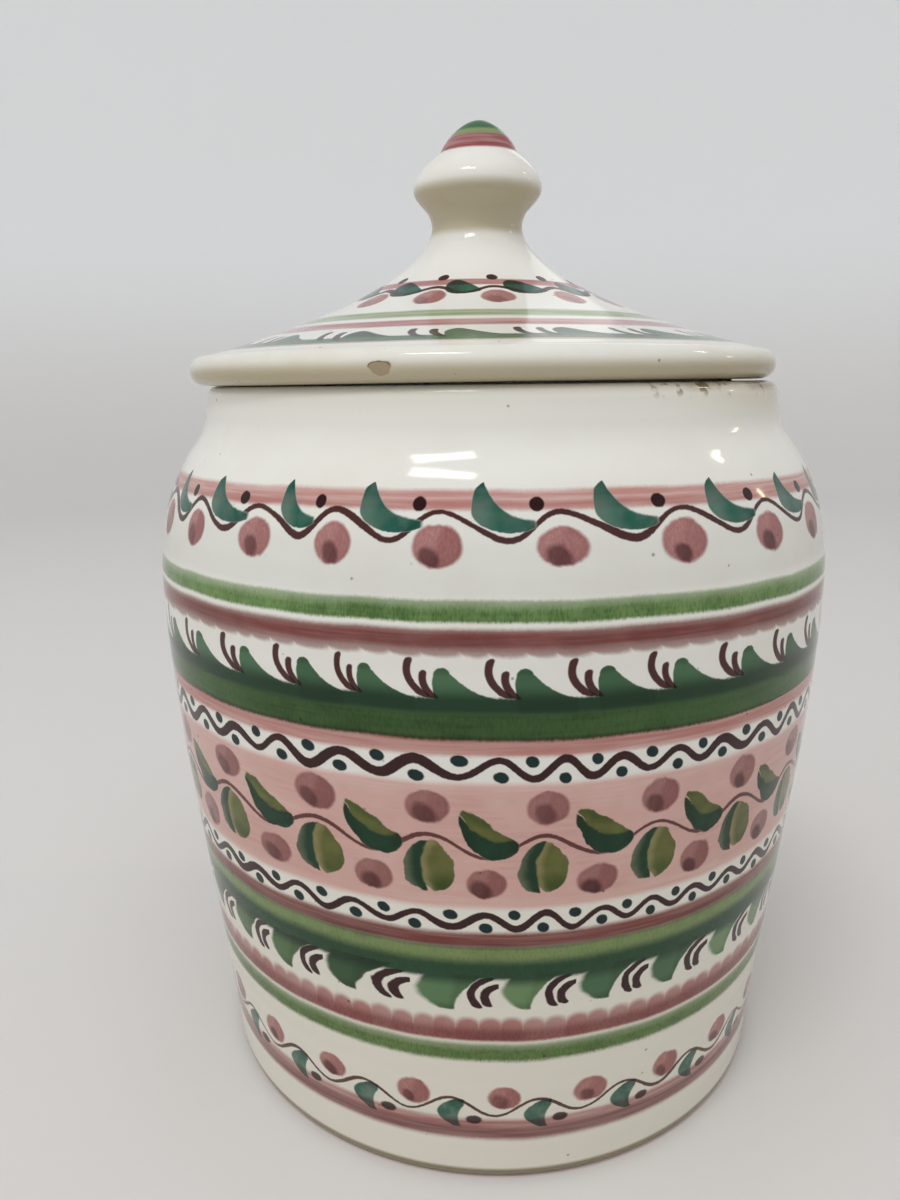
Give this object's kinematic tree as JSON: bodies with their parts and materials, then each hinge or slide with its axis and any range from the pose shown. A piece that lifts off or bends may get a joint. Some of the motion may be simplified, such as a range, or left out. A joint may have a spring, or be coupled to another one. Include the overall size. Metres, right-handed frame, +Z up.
{
  "type": "lidded candy jar",
  "caption": "Round-bellied glazed earthenware jar with a short neck, and a loose conical lid with a turned knob that drops into the mouth.",
  "frame": {"origin": "middle of the foot, on the surface that the jar stands on", "axes": "+Z up along the pot's axis; the loose lid lies towards -X in the mouth; -Y faces the viewer in the reference view"},
  "size_m": [0.176, 0.176, 0.2458],
  "materials": {
    "pot_glaze": "glossy cream tin glaze with hand painted bands",
    "lid_glaze": "glossy cream tin glaze with hand painted bands"
  },
  "bodies": {
    "pot": {"jar_body": "pot_glaze"},
    "lid": {"lid": "lid_glaze"}
  },
  "joints": [
    {"name": "lid_lift", "type": "slide", "parent": "pot", "child": "lid", "axis": [0, 0, 1], "range_m": [0, 0.1]}
  ]
}
